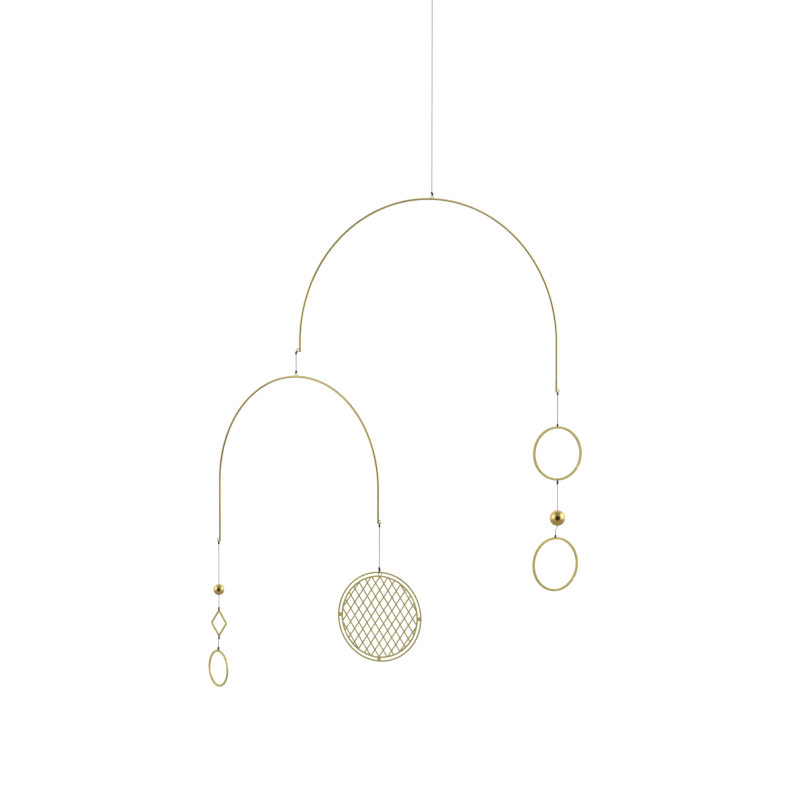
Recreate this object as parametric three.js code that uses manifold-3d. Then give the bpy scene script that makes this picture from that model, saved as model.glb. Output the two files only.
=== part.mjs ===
// A balanced hanging mobile: two brass wire arches on black threads, with flat cut pendants and beads.
// Millimetres, +Z up. The origin is inside the top of the hanging ring, where a hook carries it.
// The upper arch lies in the XZ plane, and its hanging thread runs down the Z axis.

import * as THREE from 'three';
import { mergeVertices } from 'three/addons/utils/BufferGeometryUtils.js';
import Module from 'manifold-3d';

const wasm = await Module();
wasm.setup();

// Stock that the pieces are made of
const WIRE_RADIUS = 1.2;
const THREAD_RADIUS = 0.4;
const BAND_WIDTH = 2.9;
const TOUCH_GAP = 0.3;
const RIM_SIDES = 48;

// Hanging ring, a closed loop of wire
const HANGING_RING = { outerRadius: 7, wireRadius: 0.75 };

// Eyelets soldered to the arches: small loops of thin wire
const EYELET = { radius: 1.9, wireRadius: 0.45, reach: 2.5, aboveEnd: 1.9 };
const EYELET_OUTER = EYELET.radius + EYELET.wireRadius;

// Arches: half circles with a straight leg at each end
const UPPER = { radius: 175, leftLeg: 11.9, rightLeg: 63.4, apexZ: -262, turn: 0 };
const LOWER = { radius: 127.5, leftLeg: 76.4, rightLeg: 40.4, apexZ: -478.4, turn: -64.8 };
const LINK_REACH = 5;
const THREAD_REACH = 2;

// Pendants: centre heights, sizes, and how far each is turned about its thread, in degrees
const THREAD_HOLE_RADIUS = 0.65;
const LARGE_RING = { radius: 32.9, thickness: 2.15 };
const RING_UPPER = { z: -577.8, turn: -2 };
const RING_LOWER = { z: -718.1, turn: 4.5, shift: -2.8 };
const LARGE_BEAD = { radius: 10.15, z: -659.5 };
// Under the large bead the thread leans over: how many radii below its centre, and the share of the shift
const LEANING = [[1.1, 0.1], [1.4, 0.75]];
const SMALL_BEAD = { radius: 7, z: -742 };
const BEAD_BORE = 0.8;
const DIAMOND = { z: -783.5, halfWidth: 12.1, halfHeight: 17.6, turn: -54.8 };
const DIAMOND_PLATE = { thickness: 1.6, bar: 2.1 };
const DIAMOND_EYELET = { crossBar: 0.8, belowTip: 4.9, corner: 0.9, rise: 1 };
const SMALL_RING = { radius: 21.4, thickness: 1.43, z: -839.4, turn: -79.2, shift: -1 };
const DISC = { z: -753.7, turn: -47.2, roll: 0.6, thickness: 0.7 };
const DISC_RINGS = { outer: 51.1, inner: 46.65, width: 1.9 };
const DISC_TAB = { width: 4.2, postGap: 3.4, postWidth: 0.9 };
const LATTICE = { cellWidth: 10.3, cellHeight: 15.4, bar: 1.5 };

const BRASS = { color: 0xc2ad62, roughness: 0.28, metalness: 1 };
const POLISHED_BRASS = { color: 0xd2b563, roughness: 0.1, metalness: 1 };
const BLACK_THREAD = { color: 0x161513, roughness: 0.75, metalness: 0 };

const model = new THREE.Group();

function piece(name, geometry, look, parent = model) {
  const mesh = new THREE.Mesh(geometry, new THREE.MeshStandardMaterial(look));
  mesh.name = name;
  parent.add(mesh);
  return mesh;
}

function hungGroup(x, y, z, turn, parent = model) {
  const group = new THREE.Group();
  group.position.set(x, y, z);
  group.rotation.z = THREE.MathUtils.degToRad(turn);
  parent.add(group);
  return group;
}

function toSolid(geometry) {
  const bare = geometry.clone();
  bare.deleteAttribute('normal');
  bare.deleteAttribute('uv');
  const merged = mergeVertices(bare, 1e-4);
  const vertProperties = new Float32Array(merged.attributes.position.array);
  const triVerts = new Uint32Array(merged.index.array);
  return new wasm.Manifold(new wasm.Mesh({ numProp: 3, vertProperties, triVerts }));
}

function toGeometry(solid) {
  const mesh = solid.getMesh();
  const geometry = new THREE.BufferGeometry();
  geometry.setAttribute('position', new THREE.BufferAttribute(mesh.vertProperties, 3));
  geometry.setIndex(new THREE.BufferAttribute(mesh.triVerts, 1));
  return geometry;
}

// The corners of a regular polygon with the area of a circle of the given radius
function roundCorners(radius, sides, x = 0, y = 0) {
  const corner = radius * Math.sqrt((2 * Math.PI) / (sides * Math.sin((2 * Math.PI) / sides)));
  const corners = [];
  for (let i = 0; i < sides; i += 1) {
    const angle = (2 * Math.PI * i) / sides;
    corners.push(new THREE.Vector2(x + corner * Math.cos(angle), y + corner * Math.sin(angle)));
  }
  return corners;
}

function sweep(section, path, steps) {
  return new THREE.ExtrudeGeometry(section, { extrudePath: path, steps });
}

// A flat plate standing in the XZ plane, centred on its thickness
function uprightPlate(shape, thickness) {
  const geometry = new THREE.ExtrudeGeometry(shape, { depth: thickness, bevelEnabled: false });
  geometry.translate(0, 0, -thickness / 2);
  geometry.rotateX(Math.PI / 2);
  return geometry;
}

// A round plate with a round hole in its middle
function roundBand(outerRadius, innerRadius) {
  const band = new THREE.Shape(roundCorners(outerRadius, RIM_SIDES));
  band.holes.push(new THREE.Path(roundCorners(innerRadius, RIM_SIDES)));
  return band;
}

function wireLoop(radius, wireRadius, sides, segments) {
  const loop = new THREE.TorusGeometry(radius, wireRadius, sides, segments);
  loop.rotateX(Math.PI / 2);
  return loop;
}

// The arch's centre line: up the left leg, over the half circle and down the right leg
class ArchLine extends THREE.Curve {
  constructor({ radius, leftLeg, rightLeg }) {
    super();
    this.radius = radius;
    this.leftLeg = leftLeg;
    this.bend = Math.PI * radius;
    this.total = leftLeg + this.bend + rightLeg;
  }

  getPoint(t, target = new THREE.Vector3()) {
    const along = t * this.total;
    if (along < this.leftLeg) {
      return target.set(-this.radius, 0, along - this.leftLeg);
    }
    if (along > this.leftLeg + this.bend) {
      return target.set(this.radius, 0, this.leftLeg + this.bend - along);
    }
    const angle = Math.PI - (along - this.leftLeg) / this.radius;
    return target.set(this.radius * Math.cos(angle), 0, this.radius * Math.sin(angle));
  }
}

// Where an arch's eyelets are centred, from the middle of its spring line
function eyeletPlaces({ radius, leftLeg, rightLeg }) {
  return [
    [0, radius + EYELET.reach],
    [-radius - EYELET.reach, EYELET.aboveEnd - leftLeg],
    [radius + EYELET.reach, EYELET.aboveEnd - rightLeg],
  ];
}

function archGeometry(arch) {
  const wireSides = 8;
  const stepLength = 13.5;
  const line = new ArchLine(arch);
  const section = new THREE.Shape(roundCorners(WIRE_RADIUS, wireSides));
  let solid = toSolid(sweep(section, line, Math.round(line.total / stepLength)));
  for (const [x, z] of eyeletPlaces(arch)) {
    const eyelet = wireLoop(EYELET.radius, EYELET.wireRadius, 6, 16);
    eyelet.translate(x, 0, z);
    solid = solid.add(toSolid(eyelet));
  }
  return toGeometry(solid);
}

function threadGeometry(points, steps) {
  const threadSides = 8;
  const places = points.map(([x, y, z]) => new THREE.Vector3(x, y, z));
  const section = new THREE.Shape(roundCorners(THREAD_RADIUS, threadSides));
  return sweep(section, new THREE.CatmullRomCurve3(places), steps);
}

// A ring cut from plate, with a small thread hole at each of the given heights
function flatRing({ radius, thickness }, holeHeights) {
  const holeSides = 10;
  const shape = roundBand(radius + BAND_WIDTH / 2, radius - BAND_WIDTH / 2);
  for (const height of holeHeights) {
    shape.holes.push(new THREE.Path(roundCorners(THREAD_HOLE_RADIUS, holeSides, 0, height)));
  }
  return uprightPlate(shape, thickness);
}

// A ball turned about its bore: out along the ball's surface and back up the bore
function drilledBall(radius) {
  const bandCount = 12;
  const segments = 22;
  const boreAngle = Math.asin(BEAD_BORE / radius);
  const profile = [];
  for (let i = 0; i <= bandCount; i += 1) {
    const angle = boreAngle + ((Math.PI - 2 * boreAngle) * i) / bandCount;
    profile.push(new THREE.Vector2(radius * Math.sin(angle), -radius * Math.cos(angle)));
  }
  profile.push(profile[0].clone());
  const ball = new THREE.LatheGeometry(profile, segments);
  ball.rotateX(Math.PI / 2);
  return ball;
}

// The diamond's frame: each end of the opening is cut off by a cross bar, which leaves an eyelet
// that rises a little further into the tip than the frame's inner edges would
function diamondGeometry() {
  const { halfWidth, halfHeight } = DIAMOND;
  const { thickness, bar } = DIAMOND_PLATE;
  const { crossBar, belowTip, corner, rise } = DIAMOND_EYELET;
  const slope = halfWidth / halfHeight;
  const inset = 1 - (bar * Math.hypot(halfWidth, halfHeight)) / (halfWidth * halfHeight);
  const innerTip = halfHeight * inset;
  const innerSide = halfWidth * inset;
  const barTop = halfHeight - belowTip + crossBar / 2;
  const barBottom = barTop - crossBar;
  const sideOf = (height) => (innerTip - height) * slope;

  // the sharp corners at the sides and tips are snubbed
  const shape = new THREE.Shape();
  const tipCut = corner * slope;
  shape.moveTo(halfWidth - tipCut, -corner);
  shape.lineTo(halfWidth - tipCut, corner);
  shape.lineTo(tipCut, halfHeight - corner);
  shape.lineTo(-tipCut, halfHeight - corner);
  shape.lineTo(tipCut - halfWidth, corner);
  shape.lineTo(tipCut - halfWidth, -corner);
  shape.lineTo(-tipCut, corner - halfHeight);
  shape.lineTo(tipCut, corner - halfHeight);
  shape.closePath();

  const opening = new THREE.Path();
  opening.moveTo(innerSide, 0);
  opening.lineTo(sideOf(barBottom), barBottom);
  opening.lineTo(-sideOf(barBottom), barBottom);
  opening.lineTo(-innerSide, 0);
  opening.lineTo(-sideOf(barBottom), -barBottom);
  opening.lineTo(sideOf(barBottom), -barBottom);
  opening.closePath();
  shape.holes.push(opening);

  const eyeSide = sideOf(barTop - rise);
  for (const end of [1, -1]) {
    const eye = new THREE.Path();
    eye.moveTo(0, end * (innerTip + rise));
    eye.lineTo(-eyeSide, end * barTop);
    eye.lineTo(eyeSide, end * barTop);
    eye.closePath();
    shape.holes.push(eye);
  }
  return uprightPlate(shape, thickness);
}

// One of the disc's two thin rings
function discBand(radius) {
  const half = DISC_RINGS.width / 2;
  return toSolid(uprightPlate(roundBand(radius + half, radius - half), DISC.thickness));
}

function discBlock(width, height, x, z, turn = 0) {
  const block = new THREE.BoxGeometry(width, DISC.thickness, height);
  block.rotateY(turn);
  block.translate(x, 0, z);
  return toSolid(block);
}

// Two sets of parallel bars that cross at the disc's centre
function latticeBars(reach) {
  const { cellWidth, cellHeight, bar } = LATTICE;
  const lean = Math.atan2(cellWidth, cellHeight);
  const spacing = cellWidth * Math.cos(lean);
  const count = Math.floor(reach / spacing);
  const bars = [];
  for (const side of [1, -1]) {
    for (let i = -count; i <= count; i += 1) {
      const x = i * spacing * Math.cos(lean);
      const z = -side * i * spacing * Math.sin(lean);
      bars.push(discBlock(bar, 2 * reach, x, z, side * lean));
    }
  }
  return bars;
}

function latticeDiscGeometry() {
  const { outer, inner } = DISC_RINGS;
  const { width: tabWidth, postGap, postWidth } = DISC_TAB;
  const middle = (outer + inner) / 2;
  const tabHeight = outer - inner;
  let lattice = discBlock(LATTICE.bar, LATTICE.bar, 0, 0);
  for (const bar of latticeBars(inner)) {
    lattice = lattice.add(bar);
  }
  const inside = new THREE.Shape(roundCorners(inner, RIM_SIDES));
  let disc = lattice.intersect(toSolid(uprightPlate(inside, DISC.thickness)));
  disc = disc.add(discBand(inner));
  disc = disc.add(discBand(outer));
  disc = disc.add(discBlock(tabHeight, tabWidth, -middle, 0));
  disc = disc.add(discBlock(tabHeight, tabWidth, middle, 0));
  disc = disc.add(discBlock(tabWidth, tabHeight, 0, -middle));
  for (const side of [1, -1]) {
    disc = disc.add(discBlock(postWidth, tabHeight, (side * postGap) / 2, middle));
  }
  return toGeometry(disc);
}

function addHangingRing() {
  const { outerRadius, wireRadius } = HANGING_RING;
  const loop = wireLoop(outerRadius - wireRadius, wireRadius, 8, 24);
  loop.translate(0, 0, 2 * wireRadius - outerRadius);
  piece('hanging_ring', loop, BRASS);

  const top = 2 * (wireRadius - outerRadius) - TOUCH_GAP;
  const bottom = UPPER.apexZ + EYELET.reach + EYELET_OUTER + TOUCH_GAP;
  const route = [
    [0, 0, top],
    [0, 0, (top + bottom) / 2],
    [0, 0, bottom],
  ];
  piece('hanging_thread', threadGeometry(route, 12), BLACK_THREAD);
}

function addUpperArch() {
  const springZ = UPPER.apexZ - UPPER.radius;
  const arch = piece('upper_arch', archGeometry(UPPER), BRASS);
  arch.position.z = springZ;

  const top = springZ - UPPER.leftLeg + EYELET.aboveEnd - EYELET_OUTER - TOUCH_GAP;
  const bottom = LOWER.apexZ + EYELET.reach + EYELET_OUTER + TOUCH_GAP;
  const x = -UPPER.radius - LINK_REACH;
  const route = [
    [x, 0, top],
    [x, 0, (top + bottom) / 2],
    [x, 0, bottom],
  ];
  piece('link_thread', threadGeometry(route, 4), BLACK_THREAD);
}

// Right string: ring, bead and ring under the upper arch's right leg
function addRightString() {
  const x = UPPER.radius + THREAD_REACH;
  const outside = LARGE_RING.radius + BAND_WIDTH / 2;
  const archEnd = UPPER.apexZ - UPPER.radius - UPPER.rightLeg + EYELET.aboveEnd - EYELET_OUTER;
  const ringTop = RING_UPPER.z + outside;
  const upperRoute = [
    [x, 0, archEnd - TOUCH_GAP],
    [x, 0, (archEnd + ringTop) / 2],
    [x, 0, ringTop + TOUCH_GAP],
  ];
  piece('right_upper_thread', threadGeometry(upperRoute, 4), BLACK_THREAD);

  const upperRing = hungGroup(x, 0, RING_UPPER.z, RING_UPPER.turn);
  const twoHoles = [LARGE_RING.radius, -LARGE_RING.radius];
  piece('large_ring_upper', flatRing(LARGE_RING, twoHoles), BRASS, upperRing);

  const lowerX = x + RING_LOWER.shift;
  const lowerTop = RING_LOWER.z + outside;
  const lowerRoute = [
    [x, 0, RING_UPPER.z - outside - TOUCH_GAP],
    [x, 0, LARGE_BEAD.z + 2 * LARGE_BEAD.radius],
    [x, 0, LARGE_BEAD.z],
    [x, 0, LARGE_BEAD.z - LARGE_BEAD.radius],
    ...LEANING.map(([below, share]) => [
      x + share * RING_LOWER.shift,
      0,
      LARGE_BEAD.z - below * LARGE_BEAD.radius,
    ]),
    [lowerX, 0, lowerTop + TOUCH_GAP],
  ];
  piece('right_lower_thread', threadGeometry(lowerRoute, 24), BLACK_THREAD);

  const bead = hungGroup(x, 0, LARGE_BEAD.z, 0);
  piece('large_bead', drilledBall(LARGE_BEAD.radius), POLISHED_BRASS, bead);

  const lowerRing = hungGroup(lowerX, 0, RING_LOWER.z, RING_LOWER.turn);
  piece('large_ring_lower', flatRing(LARGE_RING, [LARGE_RING.radius]), BRASS, lowerRing);
}

// A place on the lower arch's plane, that far out from its axis, in the model's own frame
function besideLowerAxis(out) {
  const turn = THREE.MathUtils.degToRad(LOWER.turn);
  return [-UPPER.radius - LINK_REACH + out * Math.cos(turn), out * Math.sin(turn)];
}

function addLowerArch() {
  const [x, y] = besideLowerAxis(0);
  const group = hungGroup(x, y, LOWER.apexZ - LOWER.radius, LOWER.turn);
  piece('lower_arch', archGeometry(LOWER), BRASS, group);
}

// Left string: bead, diamond and small ring under the lower arch's left leg
function addLeftString() {
  const [x, y] = besideLowerAxis(-LOWER.radius - THREAD_REACH);
  const archEnd = LOWER.apexZ - LOWER.radius - LOWER.leftLeg + EYELET.aboveEnd - EYELET_OUTER;
  const diamondTip = DIAMOND.halfHeight - DIAMOND_EYELET.corner;
  const upperRoute = [
    [x, y, archEnd - TOUCH_GAP],
    [x, y, SMALL_BEAD.z],
    [x, y, DIAMOND.z + diamondTip + TOUCH_GAP],
  ];
  piece('left_upper_thread', threadGeometry(upperRoute, 8), BLACK_THREAD);

  const bead = hungGroup(x, y, SMALL_BEAD.z, 0);
  piece('small_bead', drilledBall(SMALL_BEAD.radius), POLISHED_BRASS, bead);

  const frame = hungGroup(x, y, DIAMOND.z, DIAMOND.turn);
  piece('diamond', diamondGeometry(), BRASS, frame);

  const top = DIAMOND.z - diamondTip - TOUCH_GAP;
  const bottom = SMALL_RING.z + SMALL_RING.radius + BAND_WIDTH / 2 + TOUCH_GAP;
  const ringX = x + SMALL_RING.shift;
  const lowerRoute = [
    [x, y, top],
    [(x + ringX) / 2, y, (top + bottom) / 2],
    [ringX, y, bottom],
  ];
  piece('left_lower_thread', threadGeometry(lowerRoute, 2), BLACK_THREAD);

  const ring = hungGroup(ringX, y, SMALL_RING.z, SMALL_RING.turn);
  piece('small_ring', flatRing(SMALL_RING, [SMALL_RING.radius]), BRASS, ring);
}

function addDisc() {
  const [x, y] = besideLowerAxis(LOWER.radius + THREAD_REACH);
  const archEnd = LOWER.apexZ - LOWER.radius - LOWER.rightLeg + EYELET.aboveEnd - EYELET_OUTER;
  const discTop = DISC.z + DISC_RINGS.outer + DISC_RINGS.width / 2;
  const route = [
    [x, y, archEnd - TOUCH_GAP],
    [x, y, (archEnd + discTop) / 2],
    [x, y, discTop + TOUCH_GAP],
  ];
  piece('disc_thread', threadGeometry(route, 6), BLACK_THREAD);

  const hung = hungGroup(x, y, DISC.z, DISC.turn);
  const disc = piece('lattice_disc', latticeDiscGeometry(), BRASS, hung);
  disc.rotation.y = THREE.MathUtils.degToRad(DISC.roll);
}

addHangingRing();
addUpperArch();
addRightString();
addLowerArch();
addLeftString();
addDisc();

export default model;
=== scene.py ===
# A hanging mobile of brass wire arches, flat brass pendants and beads on black threads.
# Metres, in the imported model's own frame: +Z is up, and the hanging thread runs down the Z axis.

import math
import random

import bmesh
import bpy
import numpy as np
from mathutils import Matrix, Vector


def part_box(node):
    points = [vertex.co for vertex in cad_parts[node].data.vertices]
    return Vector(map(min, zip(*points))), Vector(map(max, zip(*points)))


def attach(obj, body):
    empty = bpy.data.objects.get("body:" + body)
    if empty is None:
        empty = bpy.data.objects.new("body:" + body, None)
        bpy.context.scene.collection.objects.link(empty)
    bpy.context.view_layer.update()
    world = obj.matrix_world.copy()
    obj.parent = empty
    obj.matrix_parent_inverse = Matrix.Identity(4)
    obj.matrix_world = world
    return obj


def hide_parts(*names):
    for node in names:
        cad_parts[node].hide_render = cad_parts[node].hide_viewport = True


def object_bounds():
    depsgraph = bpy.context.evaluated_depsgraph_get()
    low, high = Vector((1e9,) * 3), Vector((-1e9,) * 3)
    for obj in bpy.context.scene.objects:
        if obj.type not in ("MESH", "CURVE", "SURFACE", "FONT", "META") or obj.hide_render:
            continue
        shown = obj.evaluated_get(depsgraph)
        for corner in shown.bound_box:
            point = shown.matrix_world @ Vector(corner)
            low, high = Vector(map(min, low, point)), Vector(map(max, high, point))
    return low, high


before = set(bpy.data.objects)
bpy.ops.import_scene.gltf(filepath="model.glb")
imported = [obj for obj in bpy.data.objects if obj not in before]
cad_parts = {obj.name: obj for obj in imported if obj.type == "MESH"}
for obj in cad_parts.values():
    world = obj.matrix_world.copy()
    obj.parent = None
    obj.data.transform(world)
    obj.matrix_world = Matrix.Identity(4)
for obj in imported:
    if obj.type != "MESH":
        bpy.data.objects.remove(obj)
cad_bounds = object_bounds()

MM = 0.001

# Stock
WIRE_RADIUS = 1.2 * MM
EYELET_RADIUS = 1.9 * MM
EYELET_WIRE = 0.45 * MM
EYELET_REACH = 2.5 * MM
EYELET_ABOVE_END = 1.9 * MM
EYELET_OUTER = EYELET_RADIUS + EYELET_WIRE
RING_WIRE = 0.75 * MM
BAND_WIDTH = 2.9 * MM
THREAD_HOLE = 0.65 * MM
THREAD_RADIUS = 0.4 * MM
LOOP_RADIUS = 0.8 * THREAD_RADIUS
EDGE_ROUNDING = 0.18 * MM

# Camera, level with the upper arch's legs and a little to the left of its front
CAMERA_AZIMUTH = math.radians(-25.23)
CAMERA_PITCH = math.radians(-1.47)
CAMERA_DISTANCE = 2.4705
CAMERA_ASIDE = 0.03929
CAMERA_HEIGHT = -0.44475
CAMERA_LENS = 90.59
SENSOR_WIDTH = 36.0

UP = Vector((0, 0, 1))


# --- camera ---------------------------------------------------------------------------------

def make_camera():
    data = bpy.data.cameras.new("camera")
    data.lens = CAMERA_LENS
    data.sensor_width = SENSOR_WIDTH
    data.clip_start = 0.05
    data.clip_end = 60
    camera = bpy.data.objects.new("camera", data)
    bpy.context.scene.collection.objects.link(camera)
    right = Vector((math.cos(CAMERA_AZIMUTH), math.sin(CAMERA_AZIMUTH), 0))
    ahead = UP.cross(right)
    camera.location = -CAMERA_ASIDE * right - CAMERA_DISTANCE * ahead + CAMERA_HEIGHT * UP
    camera.rotation_euler = (math.pi / 2 + CAMERA_PITCH, 0, CAMERA_AZIMUTH)
    bpy.context.scene.camera = camera


# --- reading the frame ----------------------------------------------------------------------

class Flat:
    """A flat upright CAD node: its centre, the level direction along it, and the direction it faces."""

    def __init__(self, node):
        co = np.array([v.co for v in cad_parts[node].data.vertices], float)
        level = co[:, :2] - co[:, :2].mean(0)
        along = np.linalg.svd(level, full_matrices=False)[2][0]
        if along[0] < 0:
            along = -along
        self.along = Vector((along[0], along[1], 0))
        self.facing = Vector((-along[1], along[0], 0))
        u = co @ np.array(self.along)
        w = co @ np.array(self.facing)
        self.low, self.high = u.min(), u.max()
        self.bottom, self.top = co[:, 2].min(), co[:, 2].max()
        self.thickness = w.max() - w.min()
        middle_u, middle_w = (self.low + self.high) / 2, (w.min() + w.max()) / 2
        self.middle = self.along * middle_u + self.facing * middle_w
        self.middle.z = (self.bottom + self.top) / 2
        self.ends = [co[u < middle_u, 2].min(), co[u > middle_u, 2].min()]

    def at(self, x, z, out=0.0):
        """A point x along from the middle and out towards where it faces, at height z."""
        place = self.middle + self.along * x + self.facing * out
        return Vector((place.x, place.y, z))


class Arch(Flat):
    """A wire arch, with its half circle's radius, its spring line and its two leg ends.

    The eyelets hang a little below the ends of the legs."""

    def __init__(self, node):
        super().__init__(node)
        around = EYELET_REACH + EYELET_OUTER
        self.radius = (self.high - self.low) / 2 - around
        self.spring = self.top - around - self.radius
        below_end = EYELET_OUTER - EYELET_ABOVE_END
        self.left_end, self.right_end = [end + below_end for end in self.ends]

    def eyelet(self, side):
        """The centre of the eyelet on the left (-1), on the right (1) or at the crown (0)."""
        if side == 0:
            return self.at(0, self.spring + self.radius + EYELET_REACH)
        end = self.left_end if side < 0 else self.right_end
        return self.at(side * (self.radius + EYELET_REACH), end + EYELET_ABOVE_END)


upper_arch = Arch("upper_arch")
lower_arch = Arch("lower_arch")
ring_upper = Flat("large_ring_upper")
ring_lower = Flat("large_ring_lower")
small_ring = Flat("small_ring")
diamond = Flat("diamond")
disc = Flat("lattice_disc")
hanging_ring = Flat("hanging_ring")


# --- mesh building --------------------------------------------------------------------------

def new_object(name, mesh):
    piece = bpy.data.objects.new(name, mesh)
    bpy.context.scene.collection.objects.link(piece)
    return piece


def mesh_object(name, vertices, faces, smooth=True):
    mesh = bpy.data.meshes.new(name)
    mesh.from_pydata([tuple(v) for v in vertices], [], faces)
    mesh.polygons.foreach_set("use_smooth", [smooth] * len(mesh.polygons))
    mesh.update()
    return new_object(name, mesh)


def smooth_line(points, step):
    """A centripetal Catmull-Rom line through the points, with a place about every step."""
    points = [Vector(p) for p in points]
    first = 2 * points[0] - points[1]
    last = 2 * points[-1] - points[-2]
    around = [first] + points + [last]
    line = []
    for p0, p1, p2, p3 in zip(around, around[1:], around[2:], around[3:]):
        knots = [0.0]
        for a, b in ((p0, p1), (p1, p2), (p2, p3)):
            knots.append(knots[-1] + max((b - a).length, 1e-9) ** 0.5)
        t0, t1, t2, t3 = knots
        count = max(1, round((p2 - p1).length / step))
        for i in range(count):
            t = t1 + (t2 - t1) * i / count
            a1 = ((t1 - t) * p0 + (t - t0) * p1) / (t1 - t0)
            a2 = ((t2 - t) * p1 + (t - t1) * p2) / (t2 - t1)
            a3 = ((t3 - t) * p2 + (t - t2) * p3) / (t3 - t2)
            b1 = ((t2 - t) * a1 + (t - t0) * a2) / (t2 - t0)
            b2 = ((t3 - t) * a2 + (t - t1) * a3) / (t3 - t1)
            line.append(((t2 - t) * b1 + (t - t1) * b2) / (t2 - t1))
    line.append(points[-1])
    return line


def frames_along(line, closed):
    """The tangent and a pair of turning-free directions across it, at each place of a line."""
    count = len(line)
    tangents = []
    for i in range(count):
        ahead = line[(i + 1) % count] if closed else line[min(i + 1, count - 1)]
        behind = line[i - 1] if closed else line[max(i - 1, 0)]
        tangents.append((ahead - behind).normalized())
    aside = tangents[0].orthogonal().normalized()
    frames = []
    for tangent in tangents:
        aside = (aside - aside.dot(tangent) * tangent).normalized()
        frames.append((tangent, aside, tangent.cross(aside)))
    return frames


def tube_parts(line, sides, radius_at, closed=False, round_ends=True):
    """The vertices and faces of a tube. radius_at(place, angle) is its radius there."""
    frames = frames_along(line, closed)
    vertices = []
    faces = []
    for i, (place, (_, aside, beside)) in enumerate(zip(line, frames)):
        for k in range(sides):
            angle = 2 * math.pi * k / sides
            reach = radius_at(i, angle)
            vertices.append(place + reach * (math.cos(angle) * aside + math.sin(angle) * beside))
    rings = len(line)
    for i in range(rings if closed else rings - 1):
        for k in range(sides):
            a, b = i * sides + k, i * sides + (k + 1) % sides
            c, d = (i + 1) % rings * sides + (k + 1) % sides, (i + 1) % rings * sides + k
            faces.append((a, b, c, d))
    if not closed:
        for end, sign in ((0, -1), (rings - 1, 1)):
            add_end(vertices, faces, line[end], frames[end], end * sides, sides, sign, round_ends)
    return vertices, faces


def add_end(vertices, faces, place, axes, start, sides, sign, round_ends):
    """Close a tube's end with a dome of two rings, or with a flat cap that has a small chamfer."""
    tangent = axes[0]
    rim = [vertices[start + k] - place for k in range(sides)]
    reach = sum(v.length for v in rim) / sides
    rings = [(0.8, 0.6), (0.4, 0.92)] if round_ends else [(0.86, 0.12)]
    previous = start
    for share, rise in rings:
        base = len(vertices)
        vertices.extend(place + v * share + sign * tangent * reach * rise for v in rim)
        for k in range(sides):
            n = (k + 1) % sides
            face = (previous + k, previous + n, base + n, base + k)
            faces.append(face if sign > 0 else face[::-1])
        previous = base
    cap = tuple(previous + k for k in range(sides))
    faces.append(cap if sign > 0 else cap[::-1])


def joined(name, parts):
    """One object from several lists of vertices and faces."""
    vertices = []
    faces = []
    for more_vertices, more_faces in parts:
        start = len(vertices)
        vertices.extend(more_vertices)
        faces.extend(tuple(start + k for k in face) for face in more_faces)
    return mesh_object(name, vertices, faces)


def united(piece, parts):
    """Join solid parts into a piece with exact unions, and leave one closed mesh."""
    for part in parts:
        modifier = piece.modifiers.new("union", "BOOLEAN")
        modifier.operation = "UNION"
        modifier.solver = "EXACT"
        modifier.object = part
        graph = bpy.context.evaluated_depsgraph_get()
        solid = bpy.data.meshes.new_from_object(piece.evaluated_get(graph))
        piece.modifiers.remove(modifier)
        piece.data = solid
        bpy.data.objects.remove(part)
    piece.data.name = piece.name
    piece.data.polygons.foreach_set("use_smooth", [True] * len(piece.data.polygons))
    return piece


def finish_piece(piece, body, material, replaced=None):
    """Give a piece its material and its body, and hide the CAD node it stands for."""
    piece.data.materials.clear()
    piece.data.materials.append(material)
    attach(piece, body)
    if replaced:
        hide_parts(replaced)
    return piece


# --- materials ------------------------------------------------------------------------------

class Shader:
    """A material's node tree, with short calls to add and link nodes."""

    def __init__(self, name):
        self.material = bpy.data.materials.new(name)
        self.material.use_nodes = True
        self.tree = self.material.node_tree
        self.surface = self.tree.nodes["Principled BSDF"]
        self.place = self.add("ShaderNodeTexCoord").outputs["Object"]

    def add(self, kind, **settings):
        node = self.tree.nodes.new(kind)
        for key, value in settings.items():
            setattr(node, key, value)
        return node

    def put(self, source, socket):
        if isinstance(source, bpy.types.NodeSocket):
            self.tree.links.new(source, socket)
        else:
            socket.default_value = source

    def noise(self, scale, detail=3.0, stretch=(1, 1, 1), roughness=0.5):
        mapping = self.add("ShaderNodeMapping")
        mapping.inputs["Scale"].default_value = stretch
        self.put(self.place, mapping.inputs["Vector"])
        node = self.add("ShaderNodeTexNoise")
        self.put(mapping.outputs["Vector"], node.inputs["Vector"])
        node.inputs["Scale"].default_value = scale
        node.inputs["Detail"].default_value = detail
        node.inputs["Roughness"].default_value = roughness
        return node.outputs["Fac"]

    def spread(self, value, low, high, to_low=0.0, to_high=1.0):
        node = self.add("ShaderNodeMapRange", interpolation_type="SMOOTHSTEP")
        self.put(value, node.inputs["Value"])
        node.inputs["From Min"].default_value = low
        node.inputs["From Max"].default_value = high
        node.inputs["To Min"].default_value = to_low
        node.inputs["To Max"].default_value = to_high
        return node.outputs["Result"]

    def blend(self, share, first, second):
        node = self.add("ShaderNodeMix", data_type="RGBA")
        self.put(share, node.inputs[0])
        self.put(first, node.inputs[6])
        self.put(second, node.inputs[7])
        return node.outputs[2]

    def sum(self, first, second):
        node = self.add("ShaderNodeMath", operation="ADD")
        self.put(first, node.inputs[0])
        self.put(second, node.inputs[1])
        return node.outputs[0]

    def bump(self, height, strength, distance, after=None):
        node = self.add("ShaderNodeBump")
        node.inputs["Strength"].default_value = strength
        node.inputs["Distance"].default_value = distance
        self.put(height, node.inputs["Height"])
        if after:
            self.put(after, node.inputs["Normal"])
        return node.outputs["Normal"]


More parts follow.
